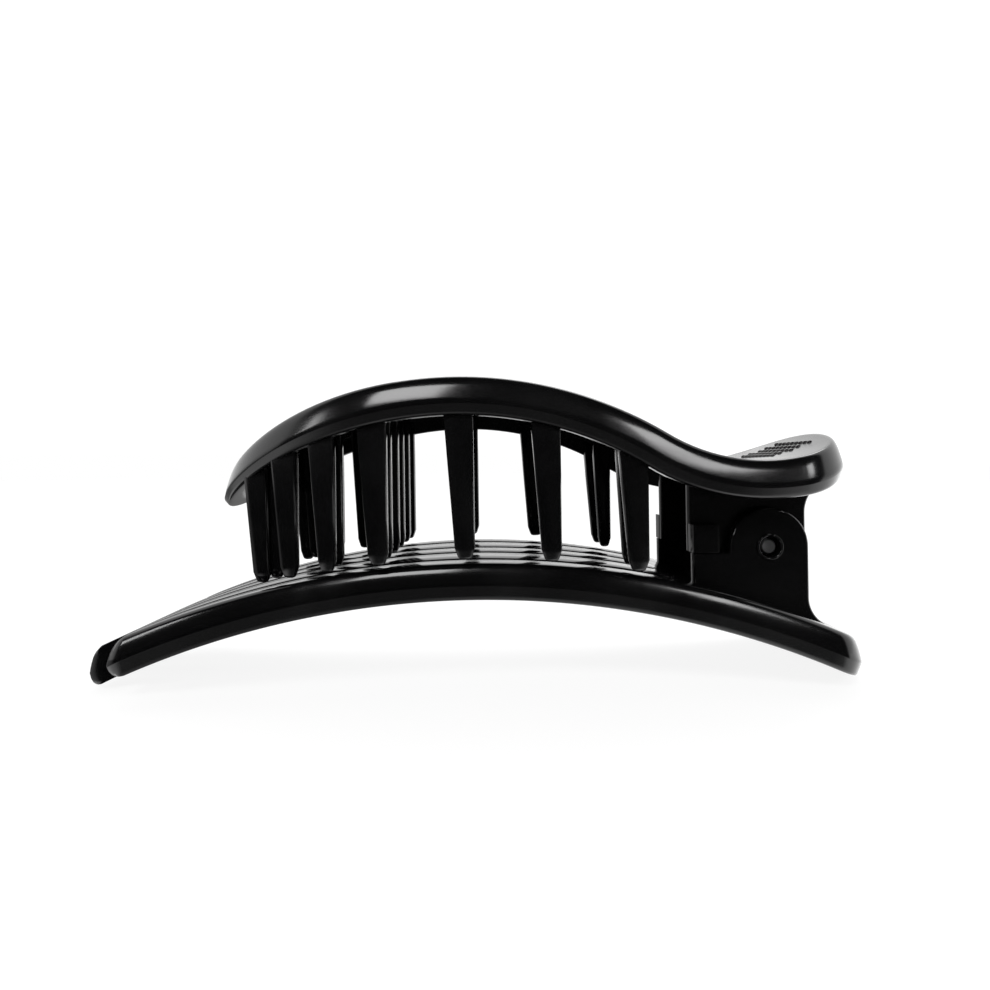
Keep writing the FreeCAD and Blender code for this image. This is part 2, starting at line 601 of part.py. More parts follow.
PIECES = {
    "lower_jaw": lower_jaw,
    "upper_jaw": upper_jaw,
    "hinge_pin": hinge_pin,
    "torsion_spring": torsion_spring,
}
os.makedirs("parts", exist_ok=True)
for node, piece in PIECES.items():
    piece.Label = node
    shape = piece.Shape
    if shape.isNull() or not shape.isValid() or len(shape.Solids) != 1:
        raise RuntimeError(f"{node} is not one sound solid")
for node, piece in PIECES.items():
    piece.Shape.exportStep(f"parts/{node}.step")
    bounds = piece.Shape.BoundBox
    print(f"{node}: {piece.Shape.Volume:.1f} mm3, x {bounds.XMin:.3f} to {bounds.XMax:.3f}, "
          f"y {bounds.YMin:.3f} to {bounds.YMax:.3f}, z {bounds.ZMin:.3f} to {bounds.ZMax:.3f}")
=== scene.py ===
import json
import math

import bmesh
import bpy
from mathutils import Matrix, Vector


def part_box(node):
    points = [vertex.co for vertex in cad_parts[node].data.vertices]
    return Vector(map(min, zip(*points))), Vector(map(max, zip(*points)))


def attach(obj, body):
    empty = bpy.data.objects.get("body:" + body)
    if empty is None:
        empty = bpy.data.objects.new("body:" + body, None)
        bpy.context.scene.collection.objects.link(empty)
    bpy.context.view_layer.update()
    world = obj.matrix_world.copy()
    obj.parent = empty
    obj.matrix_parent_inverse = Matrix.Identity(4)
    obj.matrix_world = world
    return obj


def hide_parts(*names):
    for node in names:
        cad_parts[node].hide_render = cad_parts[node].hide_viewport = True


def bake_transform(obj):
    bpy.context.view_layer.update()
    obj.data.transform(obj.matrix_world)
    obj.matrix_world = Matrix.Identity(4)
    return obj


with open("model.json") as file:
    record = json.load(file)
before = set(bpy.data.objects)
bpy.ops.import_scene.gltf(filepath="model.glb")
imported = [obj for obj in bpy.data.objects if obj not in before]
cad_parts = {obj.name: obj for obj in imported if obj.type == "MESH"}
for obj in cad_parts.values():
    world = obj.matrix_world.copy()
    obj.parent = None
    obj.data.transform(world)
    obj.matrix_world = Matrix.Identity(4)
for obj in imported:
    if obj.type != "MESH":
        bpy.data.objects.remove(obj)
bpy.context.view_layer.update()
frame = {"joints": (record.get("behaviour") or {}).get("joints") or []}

# ---------------------------------------------------------------------------
# Lower jaw: the long arched comb with five prongs, a tail and two hinge ears, moulded in
# one from glossy black ABS. The mould parts a little over half way down its sides, where
# two drafted faces meet in a ridge.
# ---------------------------------------------------------------------------

# The frame: +X to the tail, +Z up, and the hinge turns about a line across the clip.
jaw_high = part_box("lower_jaw")[1]
jaw_half_width = jaw_high.y
jaw_reach = jaw_high.x
PIN_X, _, PIN_Z = frame["joints"][0]["pos_m"]
ARCH_RADIUS = 0.148
BAR_THICK = 0.0057
# How far in from the outline the outer face stands at each depth under the top: a rounded
# top edge, a swelling face down to the ridge, and a drafted face below it.
SIDE_PROFILE = (
    (0.0, 0.00190), (0.00006, 0.00160), (0.00020, 0.00128), (0.00042, 0.00102), (0.00075, 0.00080),
    (0.00120, 0.00058), (0.0018, 0.00036), (0.0025, 0.00016), (0.0032, 0.0), (0.00345, 0.00010),
    (0.0041, 0.00030), (0.0048, 0.00056), (0.0052, 0.00070), (0.00555, 0.00095), (0.0057, 0.00130),
)
# How far each depth of a prong's point stands back from its very tip.
TIP_PROFILE = (
    0.0026, 0.0021, 0.00165, 0.00125, 0.0009, 0.0006, 0.00036, 0.00015, 0.0, 0.00006,
    0.00022, 0.00058, 0.00092, 0.0014, 0.0021,
)
SLOT_WIDTH = 0.0018
SLOT_INNER_Y = 0.00355
SLOT_OUTER_Y = 0.012
SLOT_END_X = 0.0315
TIP_UNDERCUT = 0.0012
TIP_BEVEL = 0.0026
TIP_STEPS = 2
TIP_PINCH = 0.0007
# How far the tips of the middle, inner and outer prongs stand back from the jaw's front.
PRONG_SHORT = (0.0, 0.0008, 0.0079)
TAIL_ROUND = 0.008
TAIL_ROWS = 14
TAIL_LAST = math.radians(82)
ROW_STEP = 0.0015
COMB_ROUND = 0.0003
COMB_SHARP = 50
# Two places nearer than this are one place, and a smaller face than this is no face.
SAME_PLACE = 1e-6
SLIVER_AREA = 1e-9

half_slot = SLOT_WIDTH / 2
# The two sides of the middle, inner and outer prong, from the middle of the clip outwards.
prong_sides = (
    (0.0, SLOT_INNER_Y - half_slot),
    (SLOT_INNER_Y + half_slot, SLOT_OUTER_Y - half_slot),
    (SLOT_OUTER_Y + half_slot, jaw_half_width),
)
columns = [side for sides in prong_sides for side in sides if side]
columns = [-y for y in reversed(columns)] + columns
rows = [depth for depth, inset in SIDE_PROFILE]
tips = [short - jaw_reach for short in PRONG_SHORT]
tail_x = jaw_reach - TAIL_ROUND


def deselect():
    bpy.ops.object.select_all(action="DESELECT")


# A flat comb comes first: its section is marked out across the clip where the slots end.
deselect()
bpy.ops.mesh.primitive_grid_add(x_subdivisions=len(columns) - 1, y_subdivisions=len(rows) - 1, size=1.0)
comb = bpy.context.object
for corner in comb.data.vertices:
    column = round((corner.co.x + 0.5) * (len(columns) - 1))
    row = round((0.5 - corner.co.y) * (len(rows) - 1))
    y = columns[column]
    if column in (0, len(columns) - 1):
        y -= math.copysign(SIDE_PROFILE[row][1], y)
    corner.co = (SLOT_END_X, y, -rows[row])


def edit(blank, mode="VERT"):
    """Open one blank in edit mode with nothing selected."""
    deselect()
    blank.select_set(True)
    bpy.context.view_layer.objects.active = blank
    bpy.ops.object.mode_set(mode="EDIT")
    bpy.ops.mesh.select_mode(type=mode)
    bpy.ops.mesh.select_all(action="DESELECT")


def close():
    bpy.ops.object.mode_set(mode="OBJECT")


def steps(start, end, longest):
    """Even steps from start to end, none longer than the given length."""
    count = max(1, math.ceil(abs(end - start) / longest))
    return [(end - start) / count] * count


def pull(x=0.0, z=0.0):
    """Extrude what is selected."""
    bpy.ops.mesh.extrude_region_move(TRANSFORM_OT_translate={"value": (x, 0.0, z)})


# The section is drawn back to the tail, which narrows round a half circle.
edit(comb, "FACE")
bpy.ops.mesh.select_all(action="SELECT")
for step in steps(SLOT_END_X, tail_x, ROW_STEP):
    pull(x=step)
for row in range(1, TAIL_ROWS + 1):
    before = TAIL_LAST * (row - 1) / TAIL_ROWS
    after = TAIL_LAST * row / TAIL_ROWS
    pull(x=TAIL_ROUND * (math.sin(after) - math.sin(before)))
    narrower = (1, math.cos(after) / math.cos(before), 1)
    bpy.ops.transform.resize(value=narrower, center_override=(tail_x, 0, 0))


def pick(blank, kind, test):
    """Select the vertices or faces of a blank in edit mode that pass a test."""
    shape = bmesh.from_edit_mesh(blank.data)
    bpy.ops.mesh.select_all(action="DESELECT")
    for item in getattr(shape, kind):
        item.select_set(test(item))
    shape.select_flush_mode()
    bmesh.update_edit_mesh(blank.data)


def prong_of(y):
    """The prong that a place across the clip is in: 0 middle, 1 inner, 2 outer, None in a slot."""
    for number, (inner_side, outer_side) in enumerate(prong_sides):
        if inner_side - SAME_PLACE <= abs(y) <= outer_side + SAME_PLACE:
            return number
    return None


def pick_ends(front, prongs):
    """Select the end faces that stand at this x, on these prongs."""
    def test(face):
        flat = all(abs(corner.co.x - front) < SAME_PLACE for corner in face.verts)
        wanted = prong_of(face.calc_center_median().y) in prongs
        return flat and wanted and face.calc_area() > SLIVER_AREA
    pick(comb, "faces", test)


# The prongs are drawn forward together: the outer ones stop first, then the inner ones.
front = SLOT_END_X
for number in (2, 1, 0):
    pick_ends(front, range(number + 1))
    bevel_x = tips[number] + TIP_BEVEL
    for step in steps(front, bevel_x, ROW_STEP):
        pull(x=step)
    front = bevel_x
for number, tip in enumerate(tips):
    pick_ends(tip + TIP_BEVEL, (number,))
    for _ in range(TIP_STEPS):
        pull(x=-TIP_BEVEL / TIP_STEPS)
close()

arch_z = -math.sqrt((ARCH_RADIUS - BAR_THICK) ** 2 - (jaw_reach - TIP_UNDERCUT) ** 2)


def arch(x, depth=0.0):
    """Height of the lower jaw at x, the given depth under its top face."""
    return arch_z + math.sqrt((ARCH_RADIUS - depth) ** 2 - x ** 2)


def row_of(z):
    """The row of the section that a height on the flat comb belongs to."""
    return min(range(len(rows)), key=lambda row: abs(rows[row] + z))


# The tips and the tail take their rounded faces, and the comb is pressed over the arch. A
# row is past a tip's start at the first share of its length, and is its end at the second.
PAST_START = 1e-4
AT_END = 0.9
for corner in comb.data.vertices:
    x, y, z = corner.co
    row = row_of(z)
    number = prong_of(y)
    if x < 0 and number is not None:
        tip = tips[number]
        share = (tip + TIP_BEVEL - x) / TIP_BEVEL
        if share > PAST_START:
            x = tip + TIP_BEVEL - share * (TIP_BEVEL - TIP_PROFILE[row])
        if share > AT_END:
            middle = math.copysign(sum(prong_sides[number]) / 2, y) if number else 0.0
            y -= math.copysign(TIP_PINCH, y - middle)
    if x > tail_x:
        x -= (x - tail_x) / TAIL_ROUND * SIDE_PROFILE[row][1]
    corner.co = (x, y, arch(x, -z))

ROUND_SEGMENTS = 2
SMOOTH_UP_TO = math.radians(40)


def soften(piece, width, sharp):
    """Round the edges that turn by more than this many degrees, and smooth the faces."""
    deselect()
    piece.select_set(True)
    bpy.context.view_layer.objects.active = piece
    bevel = piece.modifiers.new("edge_round", "BEVEL")
    bevel.width = width
    bevel.segments = ROUND_SEGMENTS
    bevel.limit_method = "ANGLE"
    bevel.angle_limit = math.radians(sharp)
    bpy.ops.object.modifier_apply(modifier=bevel.name)
    bpy.ops.object.shade_smooth_by_angle(angle=SMOOTH_UP_TO)


soften(comb, COMB_ROUND, COMB_SHARP)

# Hinge ears: flat plates with rounded edges, drawn as outlines with the pin's hole in them
# and set upright on the jaw. The lower pair stands outside the upper pair.
EAR_THICK = 0.002
EAR_ROUND = 0.00045
UPPER_EAR_Y = 0.0099
EAR_GAP = 0.0003
EAR_AHEAD = 0.0125
HOLE_POINTS = 48
EAR_FRONT_X = PIN_X - EAR_AHEAD
pin_low, pin_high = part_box("hinge_pin")
PIN_RADIUS = (pin_high.x - pin_low.x) / 2


def bend_points(centre_x, centre_z, radius, start, end, count):
    """Points round an arc, from one angle to another, in degrees above the +X direction."""
    turns = [math.radians(start + (end - start) * index / count) for index in range(count + 1)]
    return [(centre_x + radius * math.cos(turn), centre_z + radius * math.sin(turn)) for turn in turns]


def plate(name, outline, hole_radius, inside, outside, edge_round=EAR_ROUND):
    """An upright plate with this side view, between two distances from the middle."""
    sheet = bpy.data.curves.new(name, "CURVE")
    sheet.dimensions = "2D"
    sheet.fill_mode = "BOTH"
    loops = [outline]
    if hole_radius:
        hole_end = 360 - 360 / HOLE_POINTS
        loops.append(bend_points(PIN_X, PIN_Z, hole_radius, 0, hole_end, HOLE_POINTS - 1))
    for loop in loops:
        line = sheet.splines.new("POLY")
        line.points.add(len(loop) - 1)
        for point, (x, z) in zip(line.points, loop):
            point.co = (x, z, 0, 1)
        line.use_cyclic_u = True
    sheet.extrude = abs(outside - inside) / 2 - edge_round
    sheet.bevel_depth = edge_round
    sheet.bevel_resolution = 3
    sheet.offset = -edge_round
    made = bpy.data.objects.new(name, sheet)
    bpy.context.scene.collection.objects.link(made)
    deselect()
    made.select_set(True)
    bpy.context.view_layer.objects.active = made
    made.rotation_euler = (math.pi / 2, 0, 0)
    bpy.ops.object.convert(target="MESH")
    made = bpy.context.object
    made.location = (0, (inside + outside) / 2, 0)
    bpy.ops.object.transform_apply(location=True, rotation=True, scale=True)
    bpy.ops.object.mode_set(mode="EDIT")
    bpy.ops.mesh.select_all(action="SELECT")
    bpy.ops.mesh.remove_doubles(threshold=0.00001)
    bpy.ops.mesh.normals_make_consistent(inside=False)
    close()
    bpy.ops.object.shade_smooth_by_angle(angle=SMOOTH_UP_TO)
    return made


LOWER_EAR_ROUND = 0.0064
STOP_BELOW_PIN = 0.00095
# The ear's rear edge flares into the jaw: an arc of this radius that ends at this angle. Its
# foot stands back, and its centre stands up from the jaw, by these shares of the radius.
EAR_FLARE = 0.005
EAR_FLARE_END = 246
FLARE_BACK = 0.6
FLARE_UP = 0.9165
EAR_SINK = 0.002
PIN_MOUTH = 0.0005
ear_rear_x = PIN_X + LOWER_EAR_ROUND
shoulder_z = PIN_Z - STOP_BELOW_PIN
flare_x = ear_rear_x + FLARE_BACK * EAR_FLARE
flare_z = arch(flare_x) + FLARE_UP * EAR_FLARE
lower_ear_outline = (
    [(EAR_FRONT_X, arch(EAR_FRONT_X) - EAR_SINK), (EAR_FRONT_X, shoulder_z)]
    + [(PIN_X - LOWER_EAR_ROUND, shoulder_z)]
    + bend_points(PIN_X, PIN_Z, LOWER_EAR_ROUND, 180, 0, count=40)
    + bend_points(ear_rear_x + EAR_FLARE, flare_z, EAR_FLARE, 180, EAR_FLARE_END, count=12)
    + [(flare_x, arch(flare_x) - EAR_SINK)]
)
lower_ears = []
for side in (-1, 1):
    inside = side * (UPPER_EAR_Y + EAR_GAP)
    lower_ears.append(plate("lower_ear", lower_ear_outline, PIN_RADIUS + PIN_MOUTH,
                            inside, inside + side * EAR_THICK))

# Collar: a thin raised ring round each pin end, with a small notch at its top where the
# moulding gate was cut away. The pin end shows inside it, half a millimetre below the ear.
COLLAR_RADIUS = 0.00215
COLLAR_HOLE = 0.00175
COLLAR_HEIGHT = 0.00035
COLLAR_ROUND = 0.00017
NOTCH_HALF_ANGLE = 11
notch_left = 90 + NOTCH_HALF_ANGLE
notch_right = 450 - NOTCH_HALF_ANGLE
collar_outline = (
    bend_points(PIN_X, PIN_Z, COLLAR_RADIUS, notch_left, notch_right, count=60)
    + bend_points(PIN_X, PIN_Z, COLLAR_HOLE, notch_right, notch_left, count=60)
)
ear_face = UPPER_EAR_Y + EAR_GAP + EAR_THICK
for side in (-1, 1):
    lower_ears.append(plate("collar", collar_outline, None, side * (ear_face - COLLAR_HEIGHT),
                            side * (ear_face + COLLAR_HEIGHT), COLLAR_ROUND))

# Glossy black ABS mirrors what is round it, with faint flow ripples, fine specks of dust
# and a duller film from handling.
SMEAR_DETAIL = 6.0
SMEAR_TWIST = 1.2
SMEAR_RANGE = (0.45, 0.75)
SMEAR_SHOW = 0.35
SPECK_RANGE = (0.0, 0.09)
RIPPLE_SCALE = 130.0
RIPPLE_DETAIL = 2.0
RIPPLE_HEIGHT = 0.0001
FULL_RANGE = (0.0, 1.0)


def noise(tree, place, detail, twist=0.0):
    """A noise texture reading the given coordinates."""
    texture = tree.nodes.new("ShaderNodeTexNoise")
    texture.inputs["Detail"].default_value = detail
    texture.inputs["Distortion"].default_value = twist
    tree.links.new(place, texture.inputs["Vector"])
    return texture


def rescale(tree, value, old_range, new_range):
    """Map one range of values to another."""
    mapper = tree.nodes.new("ShaderNodeMapRange")
    labels = ("From Min", "From Max", "To Min", "To Max")
    for label, number in zip(labels, (*old_range, *new_range)):
        mapper.inputs[label].default_value = number
    tree.links.new(value, mapper.inputs["Value"])
    return mapper.outputs["Result"]


def handled_surface():
    """Handling marks shared by every finish: a smear mask, a dust mask and a ripple height."""
    group = bpy.data.node_groups.new("handled_surface", "ShaderNodeTree")
    for label, value in (("Smear Scale", 60.0), ("Speck Scale", 2600.0)):
        socket = group.interface.new_socket(label, in_out="INPUT", socket_type="NodeSocketFloat")
        socket.default_value = value
    for label in ("Smear", "Specks", "Ripple"):
        group.interface.new_socket(label, in_out="OUTPUT", socket_type="NodeSocketFloat")
    start = group.nodes.new("NodeGroupInput")
    end = group.nodes.new("NodeGroupOutput")
    place = group.nodes.new("ShaderNodeTexCoord").outputs["Object"]
    smear = noise(group, place, SMEAR_DETAIL, SMEAR_TWIST)
    group.links.new(start.outputs["Smear Scale"], smear.inputs["Scale"])
    group.links.new(rescale(group, smear.outputs["Fac"], SMEAR_RANGE, FULL_RANGE), end.inputs["Smear"])
    specks = group.nodes.new("ShaderNodeTexVoronoi")
    group.links.new(place, specks.inputs["Vector"])
    group.links.new(start.outputs["Speck Scale"], specks.inputs["Scale"])
    group.links.new(rescale(group, specks.outputs["Distance"], SPECK_RANGE, (1.0, 0.0)), end.inputs["Specks"])
    ripple = noise(group, place, RIPPLE_DETAIL)
    ripple.inputs["Scale"].default_value = RIPPLE_SCALE
    group.links.new(ripple.outputs["Fac"], end.inputs["Ripple"])
    return group


SURFACE = handled_surface()


def finish_material(name, colour, worn_colour, metallic, roughness, worn_roughness, ripple, smear_scale):
    """A finish whose colour and roughness shift with handling, over a slight ripple."""
    material = bpy.data.materials.new(name)
    material.use_nodes = True
    tree = material.node_tree
    shader = tree.nodes["Principled BSDF"]
    marks = tree.nodes.new("ShaderNodeGroup")
    marks.node_tree = SURFACE
    marks.inputs["Smear Scale"].default_value = smear_scale
    blend = tree.nodes.new("ShaderNodeMix")
    blend.data_type = "RGBA"
    blend.inputs["A"].default_value = (*colour, 1.0)
    blend.inputs["B"].default_value = (*worn_colour, 1.0)
    spots = tree.nodes.new("ShaderNodeMath")
    spots.operation = "MAXIMUM"
    tree.links.new(rescale(tree, marks.outputs["Smear"], FULL_RANGE, (0.0, SMEAR_SHOW)), spots.inputs[0])
    tree.links.new(marks.outputs["Specks"], spots.inputs[1])
    tree.links.new(spots.outputs[0], blend.inputs["Factor"])
    tree.links.new(blend.outputs["Result"], shader.inputs["Base Color"])
    dulled = rescale(tree, marks.outputs["Smear"], FULL_RANGE, (roughness, worn_roughness))
    tree.links.new(dulled, shader.inputs["Roughness"])
    bump = tree.nodes.new("ShaderNodeBump")
    bump.inputs["Strength"].default_value = ripple
    bump.inputs["Distance"].default_value = RIPPLE_HEIGHT
    tree.links.new(marks.outputs["Ripple"], bump.inputs["Height"])
    tree.links.new(bump.outputs["Normal"], shader.inputs["Normal"])
    shader.inputs["Metallic"].default_value = metallic
    return material


BLACK_BASE = (0.0035, 0.0035, 0.0038)
BLACK_HANDLED = (0.010, 0.010, 0.0105)
BLACK = finish_material("black_plastic", BLACK_BASE, BLACK_HANDLED, metallic=0.0, roughness=0.12,
                        worn_roughness=0.25, ripple=0.2, smear_scale=60.0)


def join(pieces, name):
    """Join pieces into the first and name it."""
    deselect()
    for piece in pieces:
        piece.select_set(True)
    bpy.context.view_layer.objects.active = pieces[0]
    bpy.ops.object.join()
    whole = bpy.context.view_layer.objects.active
    whole.name = name
    whole.data.name = name
    return whole


lower_jaw = join([comb] + lower_ears, "lower_jaw_moulding")
lower_jaw.data.materials.clear()
lower_jaw.data.materials.append(BLACK)
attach(lower_jaw, "lower")
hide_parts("lower_jaw")


# ---------------------------------------------------------------------------
# Upper jaw: the pressing lever, one moulding of glossy black ABS. A thin plate swept over
# the hair and down to the thumb pad, with a deep rim whose face swells to a parting ridge
# and drafts in below it. Nothing is fixed on: teeth, ears and grip dots are moulded in.
# ---------------------------------------------------------------------------

upper_low, upper_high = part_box("upper_jaw")
CROWN_X = -0.0022
CROWN_RADIUS = 0.0617
DIP_X = 0.04527
DIP_RADIUS = 0.0285
NOSE_ROUND = 0.0299
# Towards its end the nose stands this much higher, with this share less of rim under it.
NOSE_LIFT = 0.0004
NOSE_THIN = 1 / 6
PAD_ROUND = 0.0122
PLATE_THICK = 0.0024
CIRCLE_POINTS = 112
SIDE_STEP = 0.0014
LONG_SIDE = 0.03
SHELL_SMOOTH = math.radians(50)
upper_half = upper_high.y
crown_z = upper_high.z - CROWN_RADIUS
arc_gap = CROWN_RADIUS + DIP_RADIUS
dip_rise = math.sqrt(arc_gap ** 2 - (DIP_X - CROWN_X) ** 2)
dip_z = crown_z + dip_rise
nose_x = upper_low.x + NOSE_ROUND
pad_x = upper_high.x - PAD_ROUND


def sweep(x, depth=0.0):
    """Height of the upper jaw at x, the given depth under its top face."""
    turn_x = CROWN_X + (DIP_X - CROWN_X) * (CROWN_RADIUS - depth) / arc_gap
    if x < CROWN_X:
        nose_share = max(0.0, (nose_x - x) / NOSE_ROUND) ** 2
        depth = depth * (1 - NOSE_THIN * nose_share) - NOSE_LIFT * nose_share
        return crown_z + math.sqrt(CROWN_RADIUS ** 2 - (x - CROWN_X) ** 2) - depth
    if x < turn_x:
        return crown_z + math.sqrt((CROWN_RADIUS - depth) ** 2 - (x - CROWN_X) ** 2)
    return dip_z - math.sqrt((DIP_RADIUS + depth) ** 2 - (x - DIP_X) ** 2)


# How far in from the outline, and how deep, the rim's face goes: rounded top edge, swelling
# face, ridge, drafted foot, inner wall, and the underside of the plate.
RIM_PROFILE = (
    (0.0023, 0.0), (0.00195, 0.00004), (0.0017, 0.00013), (0.00147, 0.0003), (0.00126, 0.00054),
    (0.00105, 0.0009), (0.00085, 0.00135), (0.00064, 0.0019), (0.00042, 0.0026), (0.00018, 0.0034),
    (0.0, 0.0042), (0.00006, 0.00435), (0.0002, 0.0047), (0.00037, 0.0051), (0.00053, 0.0055),
    (0.00066, 0.0057), (0.0009, 0.00588), (0.0012, 0.00597), (0.0016, 0.006), (0.0027, 0.006),
    (0.0029, 0.00593), (0.003, 0.0057), (0.003, 0.0029), (0.0032, 0.00255), (0.0036, 0.0024),
)

# A ring of points is turned half a step, so that none lies on the middle line, and each half
# of it is spread to end square with a side. Then the long sides are divided.
deselect()
bpy.ops.mesh.primitive_circle_add(vertices=CIRCLE_POINTS, radius=1.0)
shell = bpy.context.object
half_step = math.pi / CIRCLE_POINTS
stretch = math.pi / (math.pi - 2 * half_step)
start_inset = RIM_PROFILE[0][0]
for corner in shell.data.vertices:
    turn = math.atan2(corner.co.y, corner.co.x) + half_step
    turn = math.atan2(math.sin(turn), math.cos(turn))
    at_nose = abs(turn) > math.pi / 2
    middle_turn = math.copysign(math.pi, turn) if at_nose else 0.0
    turn = middle_turn + (turn - middle_turn) * stretch
    reach, centre = (NOSE_ROUND, nose_x) if at_nose else (PAD_ROUND, pad_x)
    rim_x = centre + (reach - start_inset) * math.cos(turn)
    corner.co = (rim_x, (upper_half - start_inset) * math.sin(turn), 0.0)
edit(shell, "EDGE")
pick(shell, "edges", lambda edge: abs(edge.verts[0].co.x - edge.verts[1].co.x) > LONG_SIDE)
bpy.ops.mesh.subdivide(number_cuts=math.ceil((pad_x - nose_x) / SIDE_STEP) - 1)


def close_strip():
    """Fill the outline that is selected with strips that run straight across the clip."""
    shape = bmesh.from_edit_mesh(shell.data)
    for edge in [edge for edge in shape.edges if edge.select]:
        if edge.verts[0].co.y * edge.verts[1].co.y < 0:
            edge.select_set(False)
    shape.select_flush_mode()
    bmesh.update_edit_mesh(shell.data)
    bpy.ops.mesh.bridge_edge_loops()


def top_edge(edge):
    return edge.is_boundary and all(abs(corner.co.z) < SAME_PLACE for corner in edge.verts)


def widen(old_inset, new_inset, new_depth):
    """Draw a new ring out of the selected one, nearer to or further from the outline."""
    bpy.ops.mesh.extrude_edges_move()
    shape = bmesh.from_edit_mesh(shell.data)
    for corner in shape.verts:
        if corner.select:
            x, y, _ = corner.co
            y *= (upper_half - new_inset) / (upper_half - old_inset)
            if x < nose_x - SAME_PLACE:
                x = nose_x + (x - nose_x) * (NOSE_ROUND - new_inset) / (NOSE_ROUND - old_inset)
            elif x > pad_x + SAME_PLACE:
                x = pad_x + (x - pad_x) * (PAD_ROUND - new_inset) / (PAD_ROUND - old_inset)
            corner.co = (x, y, -new_depth)
    bmesh.update_edit_mesh(shell.data)


bpy.ops.mesh.select_all(action="SELECT")
for (old_inset, _), (new_inset, new_depth) in zip(RIM_PROFILE, RIM_PROFILE[1:]):
    widen(old_inset, new_inset, new_depth)
close_strip()
pick(shell, "edges", top_edge)
close_strip()
bpy.ops.mesh.select_all(action="SELECT")
bpy.ops.mesh.normals_make_consistent(inside=False)
close()
for corner in shell.data.vertices:
    corner.co.z = sweep(corner.co.x, -corner.co.z)
deselect()
shell.select_set(True)
bpy.ops.object.shade_smooth_by_angle(angle=SHELL_SMOOTH)


# Teeth: tapered pegs, upright at the back and slanted at the front, with chamfered points. On
# each side a row of four hangs from the rim and three follow the nose. Narrower ones hang
# from the plate inside.
ROW_TEETH = 4
TOOTH_PITCH = 0.01335
LAST_TOOTH_X = 0.02565
FRONT_TOOTH_X = LAST_TOOTH_X - (ROW_TEETH - 1) * TOOTH_PITCH
NOSE_TEETH_AHEAD = (0.008, 0.0143, 0.0197)
NOSE_INNER_SHARE = 0.9
# A tooth's length along the clip at root and tip, then its thickness at root and tip.
OUTER_TOOTH = (0.0047, 0.003, 0.0024, 0.0018)
NOSE_TOOTH = (0.0041, 0.0026, 0.0024, 0.0018)
INNER_TOOTH = (0.0036, 0.0024, 0.0026, 0.0018)
OUTER_ROOT_DEPTH = 0.0035
INNER_ROOT_DEPTH = 0.0014
TOOTH_GAP = 0.0009
TOOTH_FACE_INSET = 0.0015
POINT_LENGTH = 0.0018
POINT_SHARE = 0.62
TOOTH_ROUND = 0.00048
TOOTH_SHARP = 25
NOSE_TOOTH_TURN = 0.35
RIM_COVER = 0.0003


def tooth(x, y, sizes, root_depth, turn=0.0):
    """One tooth with its tip over this place, its rear edge upright, turned this much about it."""
    root, tip, thick, tip_thick = sizes
    bottom = arch(x) + TOOTH_GAP
    deselect()
    bpy.ops.mesh.primitive_plane_add(size=1.0, location=(0, 0, 0))
    peg = bpy.context.object
    middle = tip / 2 - root / 2
    for corner in peg.data.vertices:
        corner.co = (middle + corner.co.x * root, corner.co.y * thick, 0.0)
    edit(peg, "FACE")
    bpy.ops.mesh.select_all(action="SELECT")
    top = sweep(x, root_depth)
    fall = bottom - top
    share = (fall + POINT_LENGTH) / fall
    wide = root + (tip - root) * share
    pull(z=fall + POINT_LENGTH)
    bpy.ops.transform.resize(value=(wide / root, 1, 1), center_override=(tip / 2, 0, 0))
    bpy.ops.transform.resize(value=(1, 1 + (tip_thick / thick - 1) * share, 1), center_override=(0, 0, 0))
    pull(z=-POINT_LENGTH)
    bpy.ops.transform.resize(value=(POINT_SHARE, POINT_SHARE, 1), center_override=(0, 0, 0))
    bpy.ops.mesh.select_all(action="SELECT")
    bpy.ops.mesh.normals_make_consistent(inside=False)
    close()
    cos, sin = math.cos(turn), math.sin(turn)
    for corner in peg.data.vertices:
        local_x, local_y, z = corner.co
        place_x = x + local_x * cos - local_y * sin
        place_y = y + local_x * sin + local_y * cos
        corner.co = (place_x, place_y, sweep(place_x, root_depth) if abs(z) < SAME_PLACE else top + z)
    soften(peg, TOOTH_ROUND, TOOTH_SHARP)
    return peg


